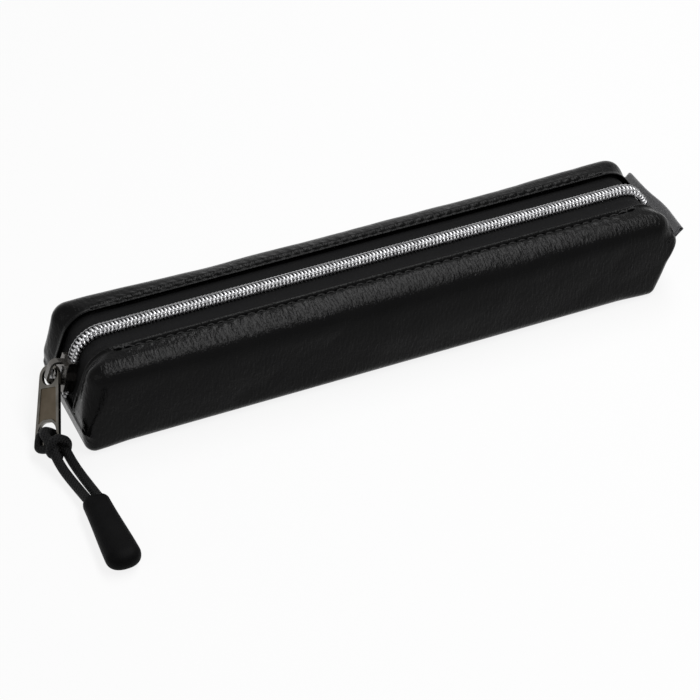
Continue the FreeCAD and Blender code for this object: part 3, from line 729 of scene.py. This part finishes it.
def ribbon_tab(material):
    """A ribbon folded to a flat loop that stands out of the right end."""
    radius = TAB_THICK / 2 - RIBBON_INSET
    bend = TAB_REACH - TAB_THICK / 2
    outs = [TAB_START + (bend - TAB_START) * step / TAB_STEPS for step in range(TAB_STEPS + 1)]
    loop = [(out, -radius) for out in outs]
    for step in range(1, TAB_TURNS):
        turn = math.pi * step / TAB_TURNS - math.pi / 2
        loop.append((bend + radius * math.cos(turn), radius * math.sin(turn)))
    loop += [(out, radius) for out in outs[::-1]]
    turned = Matrix.Rotation(-TAB_SLOPE, 3, "Y")
    seat = Vector((HALF_LENGTH, 0, RIGHT_SEAM))
    swing, turn_rate, phase = TAB_WAVE
    more, *middle = TAB_MIDDLE_REACH
    points, coordinates = [], []
    for row in range(TAB_ROWS):
        y = TAB_WIDTH * (row / (TAB_ROWS - 1) - 0.5)
        for column, (out, lift) in enumerate(loop):
            part = out / TAB_REACH
            wave = swing * part * math.sin(turn_rate * y + phase)
            reach = out * (TAB_SIDE_REACH + more * bell(y, *middle))
            bulge = lift * (1 + TAB_BULGE * part ** 2)
            points.append(seat + turned @ Vector((reach, y * (1 - TAB_TAPER * part), bulge + wave)))
            coordinates.append((y, RIBBON_STEP * column))
    mesh = raw_mesh("ribbon_tab", points, grid_faces(TAB_ROWS, len(loop), flip=True), coordinates)
    thicken(finish_mesh("ribbon_tab", mesh, material, "case", ["end_tab"]), RIBBON_THICK, 0)


def cord_and_hitch(material):
    """The cord loop through the pull, with the lobe and the bight of its hitch."""
    line, length = smooth_line("cord_line", CORD_ROUTE)
    first = line[0] + CORD_SEATING * (line[0] - line[1]).normalized()
    last = line[-1] + CORD_SEATING * (line[-1] - line[-2]).normalized()
    mesh = raw_mesh("cord_loop", *sweep([[first, *line, last]], CORD_RADIUS, CORD_SIDES))
    cord = finish_mesh("cord_loop", mesh, material, "cord", ["pull_cord"])
    facing, down = PULL_FACING, PULL_DOWN
    across = facing.cross(down)
    knot = HITCH_CENTRE + 4.8 * HITCH_AWAY
    bar = HITCH_CENTRE - 3.0 * across + 1.3 * down
    lobe = [
        knot + 2.0 * facing + 0.5 * across,
        bar + 3.4 * down + 2.6 * facing,
        bar - 0.5 * down + 2.6 * facing,
        bar - 2.7 * down + 1.7 * facing,
        bar - 2.7 * down - 1.7 * facing,
        bar + 0.5 * down - 2.5 * facing,
        bar + 1.4 * down - 2.0 * facing,
        knot - 2.0 * facing + 0.5 * across,
    ]
    beside = facing.cross(HITCH_AWAY)
    bight = [
        knot - 3.4 * facing - 0.6 * beside,
        knot - 3.2 * facing + 2.6 * beside - 0.6 * HITCH_AWAY,
        knot + 3.2 * facing + 3.0 * beside - 1.0 * HITCH_AWAY,
        knot + 3.8 * facing - 0.6 * beside + 0.4 * HITCH_AWAY,
        knot + 2.2 * facing - 2.8 * beside + 0.8 * HITCH_AWAY,
        knot - 2.0 * facing - 2.6 * beside + 0.6 * HITCH_AWAY,
    ]
    hitch = {}
    for name, route, body in (("hitch_lobe", lobe, "pull"), ("hitch_bight", bight, "cord")):
        mesh = raw_mesh(name, *sweep([smooth_line(name, route)[0]], HITCH_RADIUS, CORD_SIDES))
        hitch[name] = finish_mesh(name, mesh, material, body, [])
    return cord, hitch["hitch_bight"], line, length


def grip(material):
    """A moulded grip that widens from a rounded neck to a rounded end, with a fine seam on both sides."""
    heading = Vector((math.sin(GRIP_YAW), -math.cos(GRIP_YAW), 0))
    across = Vector((heading.y, -heading.x, 0))
    points = []
    for row in range(GRIP_ROWS):
        part = 0.5 - 0.5 * math.cos(math.pi * row / (GRIP_ROWS - 1))
        out = GRIP_LENGTH * part
        width = GRIP_WIDTHS[0] + (GRIP_WIDTHS[1] - GRIP_WIDTHS[0]) * smooth_step(part)
        thick = GRIP_THICK * (GRIP_NECK_SHARE + GRIP_SWELL * smooth_step(part))
        neck = max(0.0, 1 - out / GRIP_NECK_ROUND)
        end = max(0.0, 1 - (GRIP_LENGTH - out) / GRIP_END_ROUND)
        scale = math.sqrt(max(0.0, 1 - GRIP_NECK_CUT * neck ** 2))
        scale *= math.sqrt(max(0.0001, 1 - end ** GRIP_END_POWER))
        for side in range(GRIP_SIDES + 1):
            turn = 2 * math.pi * side / GRIP_SIDES
            y = 0.5 * width * scale * squared(math.cos(turn), GRIP_SQUARENESS)
            z = 0.5 * thick * scale * squared(math.sin(turn), GRIP_SQUARENESS)
            z += GRIP_SEAM * bell(turn % math.pi, 0, GRIP_SEAM_WIDTH)
            points.append(GRIP_NECK + out * heading + y * across + Vector((0, 0, z)))
    faces = grid_faces(GRIP_ROWS, GRIP_SIDES + 1)
    faces.append(tuple(range(GRIP_SIDES))[::-1])
    faces.append(tuple((GRIP_ROWS - 1) * (GRIP_SIDES + 1) + side for side in range(GRIP_SIDES)))
    mesh = raw_mesh("moulded_grip", points, faces)
    weld(mesh, 0.01)
    return finish_mesh("moulded_grip", mesh, material, "cord", ["cord_grip"])


# Pull

def round_corners(corners):
    """Points of a closed outline, each corner rounded to its own radius."""
    outline = []
    for index, (corner, radius) in enumerate(corners):
        corner = Vector(corner)
        before = (Vector(corners[index - 1][0]) - corner).normalized()
        after = (Vector(corners[(index + 1) % len(corners)][0]) - corner).normalized()
        half = before.angle(after) / 2
        centre = corner + (before + after).normalized() * radius / math.sin(half)
        start = corner + before * radius / math.tan(half) - centre
        stop = corner + after * radius / math.tan(half) - centre
        for step in range(CORNER_STEPS + 1):
            outline.append(centre + radius * start.slerp(stop, step / CORNER_STEPS))
    return outline


def plate(outlines, half_thick, edge):
    """A flat plate with holes and eased edges, on the XY plane, in metres."""
    data = bpy.data.curves.new("plate", "CURVE")
    data.dimensions = "2D"
    data.fill_mode = "BOTH"
    data.extrude = (half_thick - edge) * MM
    data.bevel_depth = edge * MM
    data.bevel_resolution = 2
    data.offset = -edge * MM
    for outline in outlines:
        spline = data.splines.new("POLY")
        spline.points.add(len(outline) - 1)
        for point, place in zip(spline.points, outline):
            point.co = (place.x * MM, place.y * MM, 0, 1)
        spline.use_cyclic_u = True
    holder = bpy.data.objects.new("plate", data)
    mesh = bpy.data.meshes.new_from_object(holder)
    bpy.data.objects.remove(holder)
    bpy.data.curves.remove(data)
    return mesh


def pull_outlines(length):
    """Corners with their radii, down from the top edge: outer edge, upper window, panel, lower window."""
    def half_at(down):
        return PULL_HALF_TOP + PULL_FLARE * down / length

    rim = PULL_RIM
    outer = [
        ((-half_at(0), 0), 3.6), ((half_at(0), 0), 3.6),
        ((half_at(length), -length), 2.9), ((-half_at(length), -length), 2.9),
    ]
    upper = [
        ((-half_at(1) + rim, -rim), 2.5), ((half_at(1) - rim, -rim), 2.5),
        ((half_at(6.2) - rim - 0.1, -6.2), 2.4), ((-half_at(6.2) + rim + 0.1, -6.2), 2.4),
    ]
    sunk = [
        ((-half_at(7.3) + rim, -7.2), 0.5), ((half_at(7.3) - rim, -7.2), 0.5),
        ((half_at(19) - rim, -18.3), 0.2), ((1.9, -16.9), 2.0), ((-1.9, -16.9), 2.0),
        ((-half_at(19) + rim, -18.3), 0.2),
    ]
    lower = [
        ((-half_at(21) + rim, -17.9), 3.1), ((half_at(21) - rim, -17.9), 3.1),
        ((half_at(23) - rim, -length + 1.3), 2.0), ((-half_at(23) + rim, -length + 1.3), 2.0),
    ]
    return outer, upper, sunk, lower


def pull(node, plated, panel):
    """Tapered pull in the CAD pull's place: a thin raised rim, two windows and a sunk panel."""
    across = PULL_FACING.cross(PULL_DOWN)
    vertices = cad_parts[node].data.vertices
    reach = [[vertex.co.dot(way) for vertex in vertices] for way in (across, PULL_DOWN, PULL_FACING)]
    low, high = [min(row) for row in reach], [max(row) for row in reach]
    middle = (low[0] + high[0]) / 2
    half_thick = (high[2] - low[2]) / MM / 2
    outer, upper, sunk, lower = pull_outlines((high[1] - low[1]) / MM)
    filling = [((x * PANEL_OVERLAP, y), radius) for (x, y), radius in sunk]
    work = bmesh.new()
    for number, (outlines, thick, edge) in enumerate((
        ([outer, upper, sunk, lower], half_thick, PULL_EASE),
        ([filling], half_thick - PANEL_DEPTH, PANEL_EASE),
    )):
        part = plate([round_corners(outline) for outline in outlines], thick, edge)
        first = len(work.faces)
        work.from_mesh(part)
        work.faces.ensure_lookup_table()
        for face in work.faces[first:]:
            face.material_index = number
        bpy.data.meshes.remove(part)
    turn = Matrix((across, -PULL_DOWN, PULL_FACING)).transposed().to_4x4()
    seat = across * middle + PULL_DOWN * low[1] + PULL_FACING * (low[2] + high[2]) / 2
    bmesh.ops.transform(work, matrix=Matrix.Translation(seat) @ turn, verts=work.verts)
    bmesh.ops.remove_doubles(work, verts=work.verts, dist=0.001 * MM)
    mesh = bpy.data.meshes.new("zip_pull")
    work.to_mesh(mesh)
    work.free()
    finish_mesh("zip_pull", mesh, plated, "pull", [node])
    mesh.materials.append(panel)
    mesh.polygons.foreach_set("use_smooth", [False] * len(mesh.polygons))


# CAD solids that stay, with materials and eased edges

EASED_ABOVE = math.radians(35)


def dress(node, material, edge):
    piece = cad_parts[node]
    piece.data.materials.clear()
    piece.data.materials.append(material)
    if edge:
        ease = piece.modifiers.new("eased_edges", "BEVEL")
        ease.width = edge * MM
        ease.segments = 2
        ease.limit_method = "ANGLE"
        ease.angle_limit = EASED_ABOVE


# Stage

# Camera, metres: where it stands, where it looks, its right side and its lens in millimetres
CAMERA_PLACE = (-0.25045, -0.5484, 0.4799)
CAMERA_FORWARD = (0.317, 0.710, -0.628)
CAMERA_RIGHT = (0.913, -0.407, 0.0)
CAMERA_LENS, CAMERA_SENSOR, CAMERA_REACH = 123.43, 36, 20
# Floor, metres: half its side, how far it is under the case, its colour and the share of plain white in it
FLOOR_HALF, FLOOR_DROP, FLOOR_COLOUR, FLOOR_WHITE = 6.0, 0.0002, (0.9, 0.9, 0.9, 1), 0.86
WORLD_COLOUR, WORLD_STRENGTH = (0.5, 0.5, 0.51, 1), 0.3


def add_camera():
    """Stands where the photograph was taken: above the front, to the left."""
    camera = bpy.data.objects.new("camera", bpy.data.cameras.new("camera"))
    bpy.context.scene.collection.objects.link(camera)
    forward = Vector(CAMERA_FORWARD).normalized()
    right = Vector(CAMERA_RIGHT).normalized()
    right = (right - forward * right.dot(forward)).normalized()
    up = right.cross(forward)
    turn = Matrix((right, up, -forward)).transposed().to_4x4()
    camera.matrix_world = Matrix.Translation(CAMERA_PLACE) @ turn
    camera.data.lens = CAMERA_LENS
    camera.data.sensor_width = CAMERA_SENSOR
    camera.data.clip_end = CAMERA_REACH
    bpy.context.scene.camera = camera


def seen_directly(nodes, links):
    """One for rays from the camera, a mirror or a clear surface."""
    rays = nodes.new("ShaderNodeLightPath")
    seen = rays.outputs["Is Camera Ray"]
    for kind in ("Is Glossy Ray", "Is Transmission Ray"):
        either = nodes.new("ShaderNodeMath")
        either.operation = "MAXIMUM"
        links.new(seen, either.inputs[0])
        links.new(rays.outputs[kind], either.inputs[1])
        seen = either.outputs[0]
    return seen


def add_floor():
    """A matte floor that shows the object's shadow, mostly white where it is seen."""
    corners = [(-1, -1), (1, -1), (1, 1), (-1, 1)]
    mesh = bpy.data.meshes.new("floor")
    mesh.from_pydata([(FLOOR_HALF * x, FLOOR_HALF * y, 0) for x, y in corners], [], [(0, 1, 2, 3)])
    floor = bpy.data.objects.new("floor", mesh)
    floor.location.z = -FLOOR_DROP
    bpy.context.scene.collection.objects.link(floor)
    material = bpy.data.materials.new("pale_floor")
    material.use_nodes = True
    nodes, links = material.node_tree.nodes, material.node_tree.links
    nodes.clear()
    share = nodes.new("ShaderNodeMath")
    share.operation = "MULTIPLY"
    share.inputs[1].default_value = FLOOR_WHITE
    links.new(seen_directly(nodes, links), share.inputs[0])
    matte = nodes.new("ShaderNodeBsdfDiffuse")
    matte.inputs["Color"].default_value = FLOOR_COLOUR
    white = nodes.new("ShaderNodeEmission")
    white.inputs["Strength"].default_value = 1.0
    mix = nodes.new("ShaderNodeMixShader")
    links.new(share.outputs[0], mix.inputs[0])
    links.new(matte.outputs[0], mix.inputs[1])
    links.new(white.outputs[0], mix.inputs[2])
    out = nodes.new("ShaderNodeOutputMaterial")
    links.new(mix.outputs[0], out.inputs["Surface"])
    mesh.materials.append(material)


def add_world():
    """Soft grey light, and plain white where the world is seen."""
    world = bpy.data.worlds.new("studio")
    bpy.context.scene.world = world
    world.use_nodes = True
    nodes, links = world.node_tree.nodes, world.node_tree.links
    nodes.clear()
    soft = nodes.new("ShaderNodeBackground")
    soft.inputs["Color"].default_value = WORLD_COLOUR
    soft.inputs["Strength"].default_value = WORLD_STRENGTH
    white = nodes.new("ShaderNodeBackground")
    white.inputs["Strength"].default_value = 1.0
    mix = nodes.new("ShaderNodeMixShader")
    links.new(seen_directly(nodes, links), mix.inputs[0])
    links.new(soft.outputs[0], mix.inputs[1])
    links.new(white.outputs[0], mix.inputs[2])
    out = nodes.new("ShaderNodeOutputWorld")
    links.new(mix.outputs[0], out.inputs["Surface"])


def add_lamp(name, place, size, power):
    """A rectangular lamp that looks at the origin."""
    lamp = bpy.data.objects.new(name, bpy.data.lights.new(name, "AREA"))
    lamp.data.shape = "RECTANGLE"
    lamp.data.size, lamp.data.size_y = size
    lamp.data.energy = power
    lamp.location = place
    lamp.rotation_euler = (-Vector(place)).to_track_quat("-Z", "Y").to_euler()
    bpy.context.scene.collection.objects.link(lamp)


def main():
    bpy.context.scene.view_settings.view_transform = "Standard"
    add_camera()
    cord, wrap, line, length = cord_and_hitch(braid())
    handle = grip(rubber())
    leather_shell(leather())
    stitch = thread("stitch_thread", (0.004, 0.004, 0.004), (0.014, 0.014, 0.0145))
    sewing = thread("coil_sewing", (0.28, 0.28, 0.28), (0.55, 0.55, 0.56))
    cloth = woven("woven_tape", (0.002, 0.002, 0.0022), (0.008, 0.008, 0.0085), 0.62, 0.02, (0.6, 0.8))
    silver = metal("silver_coil", (0.5, 0.5, 0.51), (0.7, 0.7, 0.71), (0.28, 0.4), 0.12)
    for name, side in (("front", -1), ("back", 1)):
        stitch_row(f"stitches_{name}", side, stitch, f"topstitch_{name}")
        tape(f"woven_{name}", side, cloth, f"tape_{name}")
        coil(f"filament_{name}", side, silver, f"coil_{name}")
        coil_thread(f"coil_sewing_{name}", side, sewing, f"coil_stitch_{name}")
    ribbon_tab(woven("satin_ribbon", (0.05, 0.05, 0.053), (0.12, 0.12, 0.126), 0.5, 0.6, (0.35, 0.5)))
    nickel = metal("slider_nickel", (0.085, 0.08, 0.075), (0.16, 0.152, 0.143), (0.16, 0.32), 0.2)
    steel = metal("lock_steel", (0.3, 0.3, 0.3), (0.5, 0.5, 0.5), (0.3, 0.45), 0.3)
    plated = metal("pull_nickel", (0.1, 0.095, 0.085), (0.17, 0.16, 0.145), (0.14, 0.26), 0.1)
    panel = metal("pull_panel", (0.082, 0.066, 0.046), (0.11, 0.09, 0.066), (0.38, 0.5), 0.2)
    pull("pull_tab", plated, panel)
    dress("slider_body", nickel, 0.22)
    dress("crown_spring", nickel, 0.16)
    dress("lock_pin", steel, 0)
    dress("lock_pawl", steel, 0)
    dress("lining", lining_cloth(), 0)
    add_floor()
    add_world()
    add_lamp("overhead", (0.22, -0.04, 0.78), (1.1, 0.26), 7.0)
    add_lamp("left_fill", (-0.75, -0.35, 0.5), (0.4, 0.4), 0.7)


main()
